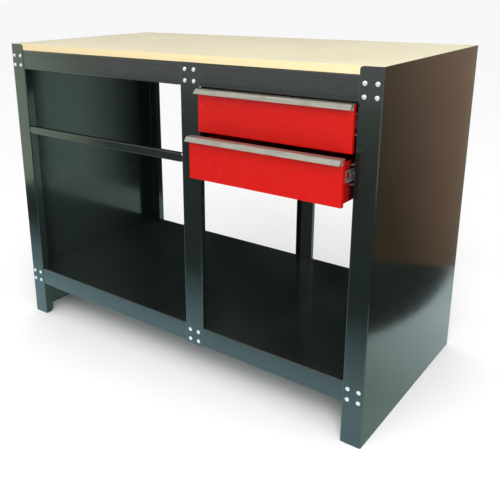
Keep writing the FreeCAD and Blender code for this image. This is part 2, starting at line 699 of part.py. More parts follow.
def make_frame_fasteners():
    """Frame bolts and nuts, worktop screws, bar screws, slide screws and their nuts."""
    bolt = make_headed_pin("BoltMaster", D["bolt_head"], D["bolt_head_high"], D["bolt_shank"],
                           D["bolt_length"], D["bolt_socket"])
    nut = make_nut("NutMaster", D["nut_across"], D["nut_high"], D["bolt_shank"] + D["nut_clear"] * 2)
    centres = joint_patterns(all_columns)
    grip = D["steel"] * 2
    back = D["bench_depth"]
    place_copies(bolt, [((x, 0, z), TO_BACK) for x, z in centres], "front_frame_bolts")
    place_copies(bolt, [((x, back, z), TO_FRONT) for x, z in centres], "rear_frame_bolts")
    place_copies(nut, [((x, grip, z), TO_BACK) for x, z in centres], "front_frame_nuts")
    place_copies(nut, [((x, back - grip, z), TO_FRONT) for x, z in centres], "rear_frame_nuts")

    wood_screw = make_headed_pin("WoodScrewMaster", D["screw_head"], D["screw_head_high"], D["wood_screw"],
                                 D["wood_screw_long"])
    under_flange = D["rail_top"] - D["steel"]
    places = [((x, y, under_flange), UPWARDS) for x, y in wood_screw_places]
    place_copies(wood_screw, places, "worktop_screws")

    screw = make_headed_pin("LipScrewMaster", D["screw_head"], D["screw_head_high"], D["screw_shank"],
                            D["screw_long"])
    small_nut = make_nut("SmallNutMaster", D["small_nut_across"], D["small_nut_high"],
                         D["screw_shank"] + D["nut_clear"] * 2)
    steel, web, near = D["steel"], D["slide_sheet"], D["lip_screw_in"]
    screws, nuts = [], []
    for height in slide_heights:
        for row in (near, lip_screw_rear):
            screws.append(((leg_right + web, row, height), TO_LEFT))
            nuts.append(((leg_right - steel * 2, row, height), TO_LEFT))
            screws.append(((flange_edge - web, row, height), TO_RIGHT))
            nuts.append(((flange_edge + steel * 2, row, height), TO_RIGHT))
    place_copies(screw, screws, "slide_mounting_screws")
    place_copies(small_nut, nuts, "slide_mounting_nuts")
    bar_left, bar_right = -flange_edge + steel, D["leg_left"] - steel
    place_copies(screw, [((bar_left, near, bar_middle), TO_LEFT), ((bar_right, near, bar_middle), TO_RIGHT)],
                 "bay_bar_screws")
    place_copies(small_nut, [((bar_left - steel * 2, near, bar_middle), TO_LEFT),
                             ((bar_right + steel * 2, near, bar_middle), TO_RIGHT)], "bay_bar_nuts")


# ---- slides -------------------------------------------------------------------------------------

def make_channel(label, web, tip, centre, half, front, back):
    """A slide member: a channel along Y with its web at one X and its flange tips at another."""
    body = new_body(label.title().replace("_", ""))
    toward = 1 if tip.value > web.value else -1
    skin, steel = D["slide_sheet"] * toward, D["slide_sheet"]
    low, high = centre - half, centre + half
    outside, inside = D["slide_bend_out"], D["slide_bend_in"]
    section = new_sketch(body, "XZ_Plane", "Section", -front)
    add_outline(section, [
        (tip, high), (web, high, outside), (web, low, outside), (tip, low), (tip, low + steel),
        (web + skin, low + steel, inside), (web + skin, high - steel, inside), (tip, high - steel)])
    pad(body, section, back - front)
    return body


def cut_web(body, name, web, into, centres=None, window=None):
    """Holes or a window through a slide member's web."""
    sketch = new_sketch(body, "YZ_Plane", name, web - PAST * into)
    if centres is not None:
        add_circles(sketch, centres, D["screw_hole"])
    if window is not None:
        add_box_outline(sketch, *window)
    pocket(body, sketch, D["slide_sheet"] + PAST * 2, into)


def make_cages(label, from_lip, ball_height, front, length, centre):
    """Ball cages of one slide gap, above and below on both slides: strips with captive balls."""
    copies = []
    count = int(length.value // D["ball_pitch"].value)
    for lip_face, into in ((leg_right, 1), (flange_edge, -1)):
        x = lip_face + from_lip * into
        for above in (-1, 1):
            z = centre + ball_height * above
            low = z - D["cage_thick"] / 2
            corner = FreeCAD.Vector((x - D["cage_wide"] / 2).value, front.value, low.value)
            strip = Part.makeBox(D["cage_wide"].value, length.value, D["cage_thick"].value, corner)
            balls = []
            for index in range(count):
                y = front + D["ball_pitch"] * (index + 0.5)
                balls.append(Part.makeSphere(D["ball"].value / 2, FreeCAD.Vector(x.value, y.value, z.value)))
            copies.append(strip.fuse(balls))
    group = doc.addObject("Part::Feature", label.title().replace("_", ""))
    group.Shape = Part.makeCompound(copies)
    group.Placement = FreeCAD.Placement()
    finish(group, label)


def make_slides(drawer, centre, pulled):
    """Both telescopic slides of one drawer, at the drawer's rest position."""
    for hand, lip_face, into in (("left", leg_right, 1), ("right", flange_edge, -1)):
        outer_tip = lip_face + D["outer_reach"] * into
        outer = make_channel(f"{drawer}_{hand}_slide_outer", lip_face, outer_tip, centre, D["outer_half"],
                             D["outer_front"], D["outer_back"])
        rows = (D["lip_screw_in"], lip_screw_rear)
        cut_web(outer, "MountingHoles", lip_face, into, centres=[(row, centre) for row in rows])
        finish(outer, f"{drawer}_{hand}_slide_outer")

        shift = pulled * MIDDLE_RATE
        middle = make_channel(f"{drawer}_{hand}_slide_middle", lip_face + D["middle_web"] * into,
                              lip_face + D["middle_reach"] * into, centre, D["middle_half"],
                              D["middle_front"] - shift, D["middle_back"] - shift)
        finish(middle, f"{drawer}_{hand}_slide_middle")

        box_side = lip_face + D["slide_thick"] * into
        inner_tip = lip_face + D["inner_reach"] * into
        front, back = D["inner_front"] - pulled, D["inner_back"] - pulled
        inner = make_channel(f"{drawer}_{hand}_slide_inner", box_side, inner_tip, centre, D["inner_half"],
                             front, back)
        cut_web(inner, "ScrewHoles", box_side, -into,
                centres=[(row - pulled, centre) for row in side_screw_rows])
        opening = front + D["window_in"]
        cut_web(inner, "FrontWindow", box_side, -into,
                window=((opening, centre - D["window_high"] / 2),
                        (opening + D["window_long"], centre + D["window_high"] / 2)))
        finish(inner, f"{drawer}_{hand}_slide_inner")

    gap_outer = (D["middle_half"] + D["outer_half"] - D["slide_sheet"]) / 2
    gap_inner = (D["inner_half"] + D["middle_half"] - D["slide_sheet"]) / 2
    make_cages(f"{drawer}_outer_ball_cages", D["outer_cage_from_lip"], gap_outer,
               D["outer_cage_front"] - pulled * OUTER_CAGE_RATE, D["outer_cage_long"], centre)
    make_cages(f"{drawer}_inner_ball_cages", D["inner_cage_from_lip"], gap_inner,
               D["inner_cage_front"] - pulled * INNER_CAGE_RATE, D["inner_cage_long"], centre)


# ---- drawers ------------------------------------------------------------------------------------

side_screw_rows = [D["side_screw_first"], D["side_screw_second"], D["side_screw_third"]]
rivet_columns = [(front_left + front_right) / 2 + D["rivet_pitch"] * step for step in (-1.5, -0.5, 0.5, 1.5)]


def make_drawer_front(drawer, bottom, face):
    """Folded pan: the visible front with a rim all round behind it."""
    body = new_body(f"{drawer.title()}DrawerFront")
    left, right = front_left, front_right
    top, sheet_thick = bottom + D["front_height"], D["front_sheet"]
    outline = new_sketch(body, "XZ_Plane", "Outline", -face)
    add_box_outline(outline, (left, bottom), (right, top))
    pad(body, outline, D["front_depth"])
    hollow = new_sketch(body, "XZ_Plane", "Hollow", -(face + D["front_depth"]))
    add_box_outline(hollow, (left + sheet_thick, bottom + sheet_thick),
                    (right - sheet_thick, top - sheet_thick))
    pocket(body, hollow, D["front_depth"] - sheet_thick, -1)
    face_y = face.value

    def outer_edge(edge):
        middle = edge.CenterOfMass
        on_face = abs(middle.y - face_y) < TINY
        on_side = min(abs(middle.x - left.value), abs(middle.x - right.value)) < TINY
        on_level = min(abs(middle.z - bottom.value), abs(middle.z - top.value)) < TINY
        return on_face or (on_side and on_level)

    round_edges(body, sheet_thick, outer_edge)
    holes = new_sketch(body, "XZ_Plane", "RivetHoles", -(face - PAST))
    rivet_places = [(x, top - D["rivet_down"]) for x in rivet_columns]
    add_circles(holes, rivet_places, D["rivet_shank"] + D["rivet_clear"])
    pocket(body, holes, sheet_thick + PAST * 2, 1)
    finish(body, f"{drawer}_drawer_front")


def make_box_side(drawer, hand, outer, into, low, front, back, screws):
    """One side of a drawer box: a sheet with a folded hem along its top."""
    body = new_body(f"{drawer.title()}DrawerSide{hand.title()}")
    high, hem_low = low + D["box_height"], low + D["box_height"] - D["hem_height"]
    skin, hem, ease = D["box_sheet"] * into, D["hem_thick"] * into, D["hem_round"]
    section = new_sketch(body, "XZ_Plane", "Section", -front)
    add_outline(section, [
        (outer, high, ease), (outer, low), (outer + skin, low), (outer + skin, hem_low),
        (outer + hem, hem_low), (outer + hem, high, ease)])
    pad(body, section, back - front)
    holes = new_sketch(body, "YZ_Plane", "ScrewHoles", outer - PAST * into)
    add_circles(holes, screws, D["screw_hole"])
    pocket(body, holes, D["box_sheet"] + PAST * 2, into)
    finish(body, f"{drawer}_drawer_{hand}_side")


def make_box_wall(drawer, name, low, start):
    """The inner front or the back of a drawer box, notched for the sides' hems."""
    body = new_body(f"{drawer.title()}Drawer{name.title().replace('_', '')}")
    floor, hem_low = low + D["box_sheet"], low + D["box_height"] - D["hem_height"]
    high = low + D["box_height"] - D["box_wall_drop"]
    left, right = box_left + D["box_sheet"], box_right - D["box_sheet"]
    left_hem, right_hem = box_left + D["hem_thick"], box_right - D["hem_thick"]
    outline = new_sketch(body, "XZ_Plane", "Outline", -start)
    add_outline(outline, [
        (left, floor), (right, floor), (right, hem_low), (right_hem, hem_low),
        (right_hem, high), (left_hem, high), (left_hem, hem_low), (left, hem_low)])
    pad(body, outline, D["box_sheet"])
    finish(body, f"{drawer}_drawer_{name}")


def make_drawer_box(drawer, bottom, face, pulled):
    """Sheet box behind the drawer front: bottom, two hemmed sides, inner front and back."""
    low = bottom + D["box_lift"]
    front, back = face + D["front_sheet"], D["box_back"] - pulled
    body = new_body(f"{drawer.title()}DrawerBottom")
    outline = new_sketch(body, "XY_Plane", "Outline", low)
    add_box_outline(outline, (box_left + D["box_sheet"], front), (box_right - D["box_sheet"], back))
    pad(body, outline, D["box_sheet"])
    finish(body, f"{drawer}_drawer_bottom")
    screws = [(row - pulled, bottom + D["slide_centre"]) for row in side_screw_rows]
    make_box_side(drawer, "left", box_left, 1, low, front, back, screws)
    make_box_side(drawer, "right", box_right, -1, low, front, back, screws)
    make_box_wall(drawer, "inner_front", low, front)
    make_box_wall(drawer, "back", low, back - D["box_sheet"])


def make_pull(drawer, bottom, face):
    """Extruded pull that caps the drawer front: mounting flange, cap, ledge, sloping face and hook."""
    body = new_body(f"{drawer.title()}DrawerPull")
    top = bottom + D["front_height"]
    wall, ledge, reach = D["pull_wall"], D["pull_ledge"], D["pull_reach"]
    crest, edge = top + D["pull_rise"], top - D["pull_drop"]
    hook = reach - D["pull_hook"]
    cap = D["front_depth"]
    section = new_sketch(body, "YZ_Plane", "Section", front_left)
    foot = top - D["pull_foot"]
    add_outline(section, [
        (face, foot), (face, top), (face + cap, top), (face + cap, crest), (face - ledge, crest),
        (face - reach, edge), (face - hook, edge),
        (face - hook, edge + wall), (face - reach + D["pull_slope_in"], edge + wall),
        (face - ledge + D["pull_ledge_in"], crest - wall), (face - wall, crest - wall), (face - wall, foot)])
    pad(body, section, front_right - front_left)
    holes = new_sketch(body, "XZ_Plane", "RivetHoles", -(face - wall - PAST))
    rivet_places = [(x, top - D["rivet_down"]) for x in rivet_columns]
    add_circles(holes, rivet_places, D["rivet_shank"] + D["rivet_clear"])
    pocket(body, holes, wall + PAST * 2, 1)
    finish(body, f"{drawer}_drawer_pull")


def make_drawer_fasteners(drawer, bottom, face, pulled, screw, rivet):
    """Screws of the inner slide members and rivets of the pull."""
    centre = bottom + D["slide_centre"]
    inside = D["slide_thick"] - D["slide_sheet"]
    places = []
    for row in side_screw_rows:
        places.append(((leg_right + inside, row - pulled, centre), TO_RIGHT))
        places.append(((flange_edge - inside, row - pulled, centre), TO_LEFT))
    place_copies(screw, places, f"{drawer}_drawer_screws")
    height = bottom + D["front_height"] - D["rivet_down"]
    start = face - D["pull_wall"]
    place_copies(rivet, [((x, start, height), TO_BACK) for x in rivet_columns], f"{drawer}_pull_rivets")


def make_drawers():
    """Both drawers with their slides."""
    screw = make_headed_pin("SideScrewMaster", D["screw_head"], D["screw_head_high"], D["screw_shank"],
                            D["screw_short"])
    rivet = make_headed_pin("RivetMaster", D["rivet_head"], D["rivet_head_high"], D["rivet_shank"],
                            D["pull_wall"] + D["front_sheet"] + D["rivet_tail"])
    for drawer in ("upper", "lower"):
        bottom, pulled = D[f"{drawer}_bottom"], D[f"{drawer}_open"]
        face = -(D["front_proud"] + pulled)
        make_slides(drawer, bottom + D["slide_centre"], pulled)
        make_drawer_box(drawer, bottom, face, pulled)
        make_drawer_front(drawer, bottom, face)
        make_pull(drawer, bottom, face)
        make_drawer_fasteners(drawer, bottom, face, pulled, screw, rivet)


# ---- build, check and write ---------------------------------------------------------------------

def check_document():
    """Stop if any object failed, or if a sub-part's shape is missing or invalid."""
    doc.recompute()
    for obj in doc.Objects:
        if "Invalid" in obj.State or "Error" in obj.State:
            raise RuntimeError(f"{obj.Name} failed: {obj.State}")
    for obj in subparts:
        if obj.Shape.isNull() or not obj.Shape.isValid():
            raise RuntimeError(f"{obj.Label}: bad shape")


def write_parts():
    """Write one STEP file for each sub-part."""
    os.makedirs("parts", exist_ok=True)
    for obj in subparts:
        obj.Shape.exportStep(f"parts/{obj.Label}.step")
        box = obj.Shape.BoundBox
        print(f"{obj.Label:28s} solids {len(obj.Shape.Solids):3d}  volume {obj.Shape.Volume:12.1f}  "
              f"x {box.XMin:8.2f} {box.XMax:8.2f}  y {box.YMin:8.2f} {box.YMax:8.2f}  "
              f"z {box.ZMin:8.2f} {box.ZMax:8.2f}")


make_worktop()
make_end_panel(-1, "left_end_panel")
make_end_panel(1, "right_end_panel")
make_top_rail(D["steel"], 1, "front_top_rail")
make_top_rail(D["bench_depth"] - D["steel"], -1, "rear_top_rail")
make_lower_shelf()
make_middle_leg(as_dim(0), 1, "front_middle_leg")
make_middle_leg(D["bench_depth"], -1, "rear_middle_leg")
make_bay_bar()
make_slide_plate(leg_right, -1, D["leg_lip"], "left_slide_plate")
make_slide_plate(flange_edge, 1, D["panel_lip"], "right_slide_plate")
make_frame_fasteners()
make_drawers()
check_document()
write_parts()
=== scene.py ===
"""Looks of the steel workbench: camera, studio, finishes and rounded edges around the CAD frame."""

import json
import math

import bpy
from mathutils import Matrix, Vector

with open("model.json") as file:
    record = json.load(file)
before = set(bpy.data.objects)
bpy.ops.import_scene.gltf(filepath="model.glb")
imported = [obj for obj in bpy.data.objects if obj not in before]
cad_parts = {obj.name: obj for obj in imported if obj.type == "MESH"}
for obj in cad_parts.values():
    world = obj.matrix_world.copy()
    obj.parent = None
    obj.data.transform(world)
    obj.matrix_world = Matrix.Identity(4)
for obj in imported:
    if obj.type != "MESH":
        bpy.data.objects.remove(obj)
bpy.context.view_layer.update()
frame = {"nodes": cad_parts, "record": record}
nodes = frame["nodes"]
record = frame["record"]
slot_of = {part["node"]: part["material_slot"] for part in record["subparts"]}

# ---- driving values: metres and degrees, lens and sensor in millimetres -------------------------

CAMERA_AZIMUTH = 37.98
CAMERA_ELEVATION = 17.0
CAMERA_ROLL = -0.70
CAMERA_PLACE = Vector((1.12805, -1.51198, 1.04338))
CAMERA_LENS = 47.26
SENSOR_WIDTH = 36.0
SHIFT_RIGHT = 0.08
SHIFT_UP = -0.12

FLOOR_HALF = 60.0
FLOOR_Z = 0.0
WORLD_STRENGTH = 0.97

# Softboxes: where each one stands, where it looks, its width and height, its power in watts
KEY_PLACE = (0.6, -2.4, 3.2)
KEY_TARGET = (0.1, 0.0, 0.5)
KEY_SIZE = (2.4, 1.6)
KEY_POWER = 30
RIGHT_PLACE = (1.35, -1.65, 1.5)
RIGHT_TARGET = (0.4, -0.2, 0.6)
RIGHT_SIZE = (0.9, 0.9)
RIGHT_POWER = 22

# Flat cards around the bench that only show in the gloss paint. The cloth is narrowest at its waist,
# and its right edge curves outward from there, by the flares, to the front and to the rear.
CARD_LIFT = 0.001
CLOTH_LIFT = 0.002
CLOTH_WAIST = 0.742
CLOTH_WAIST_Y = 0.56
CLOTH_FLARE_FRONT = 0.62
CLOTH_FLARE_REAR = 0.28
CLOTH_FRONT = -0.272
CLOTH_LEFT = -1.7
CLOTH_SPLIT = 0.60
CLOTH_EDGE_POINTS = 48
NEAR_FLOOR_BRIGHT = -0.40
NEAR_FLOOR_DARK = -0.85
DARK_FLOOR_FRONT = -4.8
DARK_FLOOR_SIDE = 6.0
WALL_Y = 0.95
WALL_LEFT = -3.0
WALL_CORNER = 0.70
WALL_HIGH = 2.2
BROWN_FAR = (1.70, 0.517)
SCREEN_X = 0.66
SCREEN_NEAR_Y = 0.56
LEFT_CARD_X = -1.9
LEFT_CARD_NEAR = -0.55
LEFT_CARD_FAR = -1.75
LEFT_CARD_HIGH = 1.3
CARD_CLOUD_SCALE = 2.2
CARD_CLOUD = 0.08

RIGHTWARD = (1.0, 0.0, 0.0)
FRONTWARD = (0.0, -1.0, 0.0)
REARWARD = (0.0, 1.0, 0.0)
UPWARD = (0.0, 0.0, 1.0)
RIGHT_AND_DOWN = (1.0, 0.0, -0.35)

# How each card glows: its first and second colour, the direction in which the first runs into the
# second, and how far along that direction the run starts and ends
CARD_GLOWS = {
    "dark_floor": ((0.05, 0.06, 0.06, 1.0), (0.35, 0.38, 0.30, 1.0), FRONTWARD, 1.2, 4.4),
    "side_floor": ((0.01, 0.012, 0.012, 1.0), (0.03, 0.03, 0.025, 1.0), REARWARD, 0.0, 1.0),
    "pale_cloth": ((0.42, 0.58, 0.52, 1.0), (0.98, 1.20, 1.22, 1.0), REARWARD, -0.05, 0.5),
    "shaded_cloth": ((0.40, 0.62, 0.54, 1.0), (0.62, 0.85, 0.76, 1.0), REARWARD, 0.3, 0.9),
    "near_floor": ((1.0, 1.55, 1.70, 1.0), (0.05, 0.06, 0.06, 1.0), FRONTWARD,
                   -NEAR_FLOOR_BRIGHT, -NEAR_FLOOR_DARK),
    "rear_wall": ((0.012, 0.02, 0.017, 1.0), (0.70, 1.0, 0.86, 1.0), RIGHTWARD, 0.12, 0.55),
    "screen": ((0.60, 0.90, 0.78, 1.0), (0.75, 1.05, 0.92, 1.0), UPWARD, 0.1, 0.8),
    "brown_wall": ((0.62, 0.39, 0.26, 1.0), (0.12, 0.06, 0.02, 1.0), RIGHT_AND_DOWN, 0.50, 0.94),
    "left_side": ((1.3, 1.6, 1.25, 1.0), (0.7, 0.8, 0.65, 1.0), FRONTWARD, 1.3, 1.75),
}

# Rounded edges of the frame's sheets
SHEET_EDGE_ROUND = 0.00035
SHARP_EDGE = math.radians(35)
WELD_DISTANCE = 0.000002

# Colours of the finishes, linear
BLACK = (0.0, 0.0, 0.0, 1.0)
WHITE = (1.0, 1.0, 1.0, 1.0)
DUST = (0.32, 0.31, 0.28, 1.0)
FRAME_PAINT = (0.0076, 0.0122, 0.0108, 1.0)
FRAME_PAINT_DEEP = (0.0060, 0.0096, 0.0086, 1.0)
FRAME_PAINT_WORN = (0.05, 0.06, 0.055, 1.0)
DRAWER_RED = (0.455, 0.0042, 0.0026, 1.0)
DRAWER_RED_DEEP = (0.435, 0.0036, 0.0022, 1.0)
DRAWER_RED_WORN = (0.60, 0.04, 0.025, 1.0)
# Painted shade: the dark red that the inside of a drawer box turns to where little light reaches
DRAWER_RED_PAINTED_SHADE = (0.0348, 0.00108, 0.00066, 1.0)
SCREW_BLACK = (0.02, 0.022, 0.02, 1.0)
SCREW_BLACK_DEEP = (0.014, 0.016, 0.015, 1.0)
SCREW_BLACK_WORN = (0.12, 0.12, 0.11, 1.0)
BOARD_PALE = (0.74, 0.68, 0.49, 1.0)
BOARD_DEEP = (0.66, 0.59, 0.41, 1.0)
BOARD_FIBRE = (0.50, 0.41, 0.26, 1.0)
BOARD_GRAIN = (0.86, 0.81, 0.66, 1.0)
BOARD_FLECK = (0.33, 0.24, 0.14, 1.0)
CUT_BOARD = (0.66, 0.54, 0.31, 1.0)
CUT_BOARD_FLECK = (0.48, 0.37, 0.20, 1.0)
CUT_BOARD_FIBRE = (0.54, 0.43, 0.24, 1.0)
ALUMINIUM = (0.52, 0.50, 0.43, 1.0)
ALUMINIUM_STAIN = (0.15, 0.15, 0.125, 1.0)
SLIDE_ZINC = (0.80, 0.81, 0.82, 1.0)
SLIDE_ZINC_STAIN = (0.50, 0.51, 0.52, 1.0)
BOLT_ZINC = (0.92, 0.94, 0.96, 1.0)
BOLT_ZINC_DEEP = (0.80, 0.82, 0.85, 1.0)
BOLT_ZINC_CAST = (0.78, 0.76, 0.68, 1.0)
PAPER_LIGHT = (0.97, 0.97, 0.97, 1.0)
PAPER_DARK = (0.95, 0.95, 0.95, 1.0)

# Between these two lie most values of a noise texture
NOISE_LOW = 0.3
NOISE_HIGH = 0.7

# How wide the worn edges are, and how far away a sheet darkens the inside of a drawer box with painted
# shade
EDGE_REACH = 0.0012
PAINTED_SHADE_REACH = 0.14

# Indices of refraction
USUAL_IOR = 1.5
BOARD_IOR = 1.45

# Textures: a scale is the number of features in a metre, a depth is in metres, and a share says
# how much of a colour or a bump shows
COAT_CLOUD_SCALE = 6.0
COAT_MOTTLE_SCALE = 40.0
COAT_CHIP_SCALE = 320.0
COAT_SPECK_SCALE = 260.0
COAT_PEEL_SCALE = 380.0
COAT_PEEL_DEPTH = 0.000012
COAT_PEEL_SHARE = 0.6
COAT_SPECK_DEPTH = 0.00002
COAT_SPECK_SHARE = 0.08
COAT_WEAR_SHARE = 0.55
COAT_DUST_SHARE = 0.03
COAT_DUST_DULLING = 1.2
BOARD_CLOUD_SCALE = 5.0
BOARD_FIBRE_SCALES = (90.0, 900.0, 900.0)
BOARD_GRAIN_SCALE = 1400.0
BOARD_FLECK_SCALE = 170.0
BOARD_FIBRE_SHARE = 0.35
BOARD_GRAIN_SHARE = 0.25
BOARD_FLECK_SHARE = 0.30
BOARD_BUMP_DEPTH = 0.0002
BOARD_BUMP_SHARE = 0.25
CUT_FIBRE_SHARE = 0.4
PULL_LINE_SCALES = (9.0, 700.0, 700.0)
PULL_LINE_DEPTH = 0.00005
SLIDE_LINE_SCALES = (700.0, 10.0, 700.0)
SLIDE_LINE_DEPTH = 0.00004
METAL_LINE_SHARE = 0.3
METAL_STAIN_SCALE = 35.0
METAL_STAIN_SHARE = 0.35
ZINC_FLAKE_SCALE = 600.0
ZINC_CAST_SCALE = 220.0
ZINC_CAST_SHARE = 0.4
ZINC_BUMP_DEPTH = 0.00005
ZINC_BUMP_SHARE = 0.2
PAPER_MOTTLE_SCALE = 3.0

# Nodes that don't take the finish of their material slot
# The drawer box sheets take the red coat with painted shade inside the box
BOX_SHEETS = ("drawer_bottom", "drawer_left_side", "drawer_right_side", "drawer_inner_front",
              "drawer_back")
DARK_SCREW_NODES = ("bay_bar_screws", "bay_bar_nuts")


# ---- node helpers -------------------------------------------------------------------------------

class Finish:
    """Builds one material as a tree of nodes, with short calls for the nodes that are used here."""

    def __init__(self, name):
        self.material = bpy.data.materials.new(name)
        self.material.use_nodes = True
        self.tree = self.material.node_tree
        self.tree.nodes.clear()
        output = self.tree.nodes.new("ShaderNodeOutputMaterial")
        self.shader = self.tree.nodes.new("ShaderNodeBsdfPrincipled")
        self.tree.links.new(self.shader.outputs["BSDF"], output.inputs["Surface"])
        self.place = self.tree.nodes.new("ShaderNodeTexCoord").outputs["Object"]

    def put(self, socket, value):
        """Link an output to a socket, or set the socket's own value."""
        if isinstance(value, bpy.types.NodeSocket):
            self.tree.links.new(value, socket)
        else:
            socket.default_value = value

    def set(self, **values):
        """Set the shader's sockets by name, with underscores for spaces."""
        for name, value in values.items():
            self.put(self.shader.inputs[name.replace("_", " ")], value)

    def stretch(self, scale):
        """Coordinates scaled differently along X, Y and Z."""
        node = self.tree.nodes.new("ShaderNodeMapping")
        self.put(node.inputs["Vector"], self.place)
        node.inputs["Scale"].default_value = scale
        return node.outputs["Vector"]

    def noise(self, scale, detail=3.0, roughness=0.55, place=None):
        """Noise as a value around one half."""
        node = self.tree.nodes.new("ShaderNodeTexNoise")
        self.put(node.inputs["Vector"], place or self.place)
        node.inputs["Scale"].default_value = scale
        node.inputs["Detail"].default_value = detail
        node.inputs["Roughness"].default_value = roughness
        return node.outputs["Fac"]

    def cells(self, scale):
        """Distance to the nearest cell point: small round spots where it is low."""
        node = self.tree.nodes.new("ShaderNodeTexVoronoi")
        self.put(node.inputs["Vector"], self.place)
        node.inputs["Scale"].default_value = scale
        return node.outputs["Distance"]

    def remap(self, value, low=NOISE_LOW, high=NOISE_HIGH, to_low=0.0, to_high=1.0):
        """Map a range to another, held at its ends."""
        node = self.tree.nodes.new("ShaderNodeMapRange")
        self.put(node.inputs["Value"], value)
        node.inputs["From Min"].default_value = low
        node.inputs["From Max"].default_value = high
        node.inputs["To Min"].default_value = to_low
        node.inputs["To Max"].default_value = to_high
        return node.outputs["Result"]

    def math(self, operation, first, second):
        """One arithmetic step on two values."""
        node = self.tree.nodes.new("ShaderNodeMath")
        node.operation = operation
        self.put(node.inputs[0], first)
        self.put(node.inputs[1], second)
        return node.outputs["Value"]

    def dot(self, first, second):
        """The dot product of two vectors."""
        node = self.tree.nodes.new("ShaderNodeVectorMath")
        node.operation = "DOT_PRODUCT"
        self.put(node.inputs[0], first)
        self.put(node.inputs[1], second)
        return node.outputs["Value"]

    def mix(self, share, first, second):
        """Blend two colours by a share from 0 to 1."""
        node = self.tree.nodes.new("ShaderNodeMix")
        node.data_type = "RGBA"
        self.put(node.inputs["Factor"], share)
        self.put(node.inputs["A"], first)
        self.put(node.inputs["B"], second)
        return node.outputs["Result"]

    def bump(self, height, depth, share, below=None):
        """A bump from a height value, over another one if there is one below."""
        node = self.tree.nodes.new("ShaderNodeBump")
        node.inputs["Strength"].default_value = share
        node.inputs["Distance"].default_value = depth
        self.put(node.inputs["Height"], height)
        if below is not None:
            self.put(node.inputs["Normal"], below)
        return node.outputs["Normal"]

    def edges(self, reach):
        """A mask of the folded and cut edges: where the rounded normal leaves the true one."""
        rounded = self.tree.nodes.new("ShaderNodeBevel")
        rounded.samples = 4
        rounded.inputs["Radius"].default_value = reach
        geometry = self.tree.nodes.new("ShaderNodeNewGeometry")
        agreement = self.dot(rounded.outputs["Normal"], geometry.outputs["Normal"])
        return self.remap(agreement, 0.995, 0.90)

    def painted_shade_openness(self, reach):
        """How open the surroundings of a point are, as the mask of painted shade: low inside a closed
        box, where the painted shade is darkest.
        """
        node = self.tree.nodes.new("ShaderNodeAmbientOcclusion")
        node.inputs["Distance"].default_value = reach
        node.samples = 8
        return self.remap(node.outputs["AO"], 0.15, 0.7)

    def facing_up(self):
        """A mask of the surfaces that face up, where dust settles."""
        geometry = self.tree.nodes.new("ShaderNodeNewGeometry")
        split = self.tree.nodes.new("ShaderNodeSeparateXYZ")
        self.put(split.inputs["Vector"], geometry.outputs["True Normal"])
        return self.remap(split.outputs["Z"], 0.7, 1.0)


# ---- finishes -----------------------------------------------------------------------------------

def powder_coat(name, colour, deep_colour, worn_colour, roughness, shine, painted_shade_colour=None):
    """Glossy powder coat: orange peel, faint clouding, dust and specks, thinner paint on edges, and
    painted shade inside a closed box when a shade colour is given.
    """
    finish = Finish(name)
    cloud = finish.noise(COAT_CLOUD_SCALE, detail=4.0)
    mottle = finish.noise(COAT_MOTTLE_SCALE, detail=2.0)
    chips = finish.remap(finish.noise(COAT_CHIP_SCALE), 0.45, 0.7)
    wear = finish.math("MULTIPLY", finish.edges(EDGE_REACH), chips)
    base = finish.mix(finish.remap(cloud), colour, deep_colour)
    base = finish.mix(finish.math("MULTIPLY", wear, COAT_WEAR_SHARE), base, worn_colour)
    settled = finish.remap(cloud, 0.35, 0.75, to_high=COAT_DUST_SHARE)
    dust = finish.math("MULTIPLY", finish.facing_up(), settled)
    base = finish.mix(dust, base, DUST)
    gloss = finish.remap(mottle, to_low=roughness * 0.85, to_high=roughness * 1.2)
    gloss = finish.math("ADD", gloss, finish.math("MULTIPLY", dust, COAT_DUST_DULLING))
    peel = finish.noise(COAT_PEEL_SCALE, detail=1.0, roughness=0.4)
    specks = finish.remap(finish.cells(COAT_SPECK_SCALE), 0.03, 0.06, to_low=1.0, to_high=0.0)
    surface = finish.bump(peel, COAT_PEEL_DEPTH, COAT_PEEL_SHARE)
    surface = finish.bump(specks, COAT_SPECK_DEPTH, COAT_SPECK_SHARE, below=surface)
    # Painted shade: the colour turns to the shade colour where the surroundings are closed, inside a
    # drawer box
    if painted_shade_colour is not None:
        base = finish.mix(finish.painted_shade_openness(PAINTED_SHADE_REACH), painted_shade_colour, base)
    finish.set(Base_Color=base, Roughness=gloss, Normal=surface, IOR=USUAL_IOR,
               Specular_IOR_Level=shine)
    return finish.material


